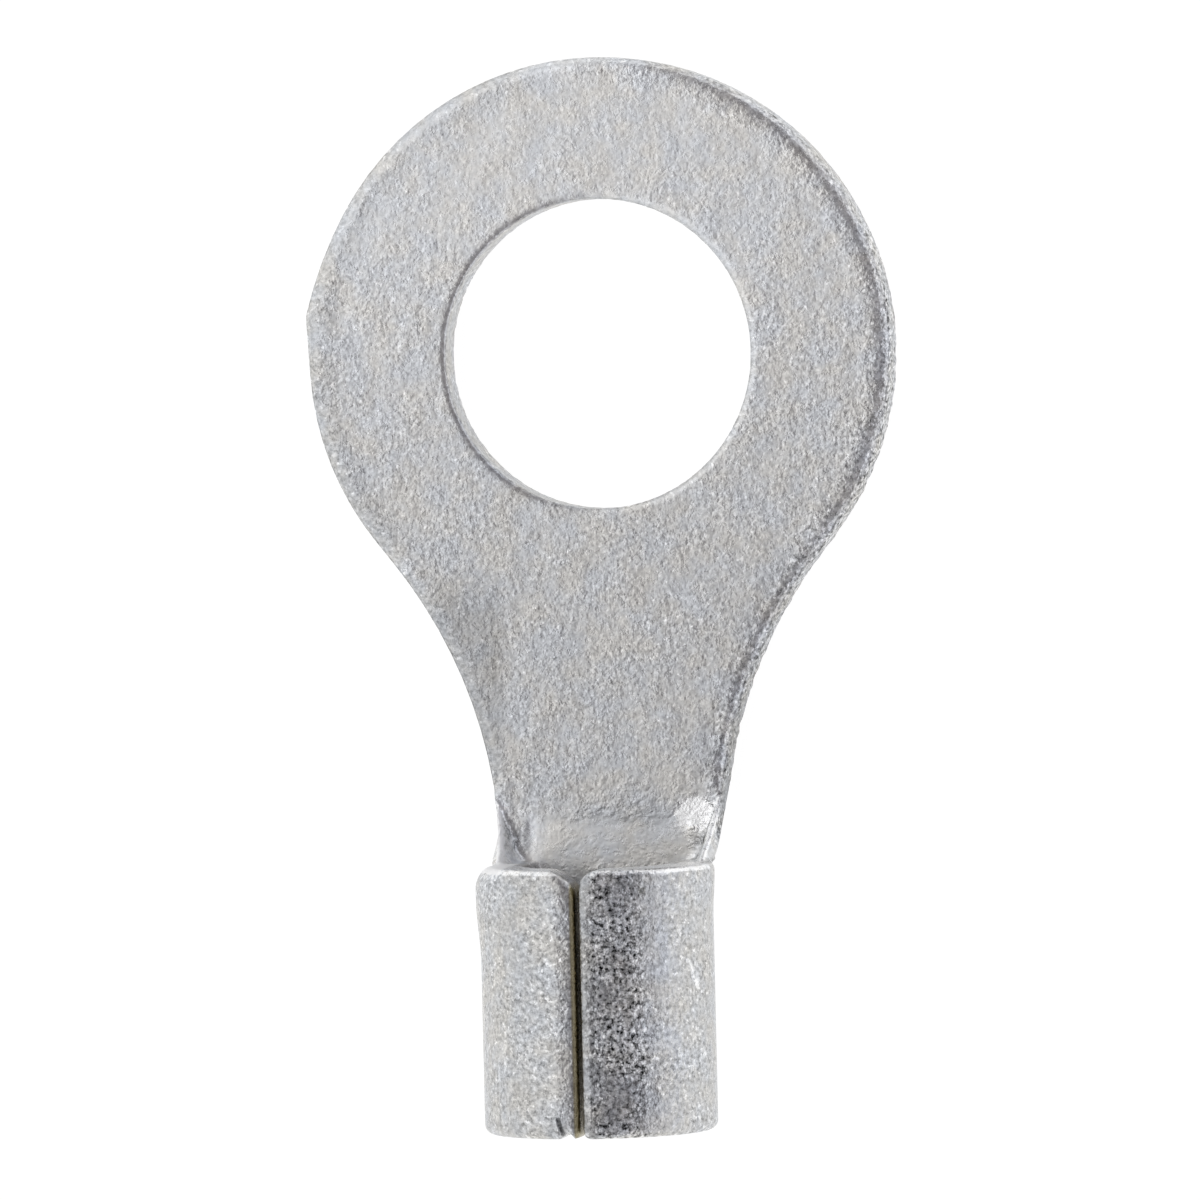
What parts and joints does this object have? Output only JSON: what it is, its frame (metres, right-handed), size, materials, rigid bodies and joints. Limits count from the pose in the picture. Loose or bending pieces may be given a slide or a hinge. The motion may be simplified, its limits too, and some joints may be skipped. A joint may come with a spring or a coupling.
{
  "type": "ring terminal",
  "caption": "Bare ring terminal: a flat stamped ring for a stud whose neck curls into a rolled wire barrel with a butted seam.",
  "frame": {"origin": "centre of the stud hole on the tongue's back face", "axes": "+Z through the stud hole to the side where the seam is, +Y to the tip of the ring, wire leaves the barrel along -Y"},
  "size_m": [0.0135, 0.0241, 0.0052],
  "materials": {
    "tin_plate": "tumbled satin tin plate"
  },
  "bodies": {
    "root": {"terminal_body": "tin_plate"}
  },
  "joints": []
}
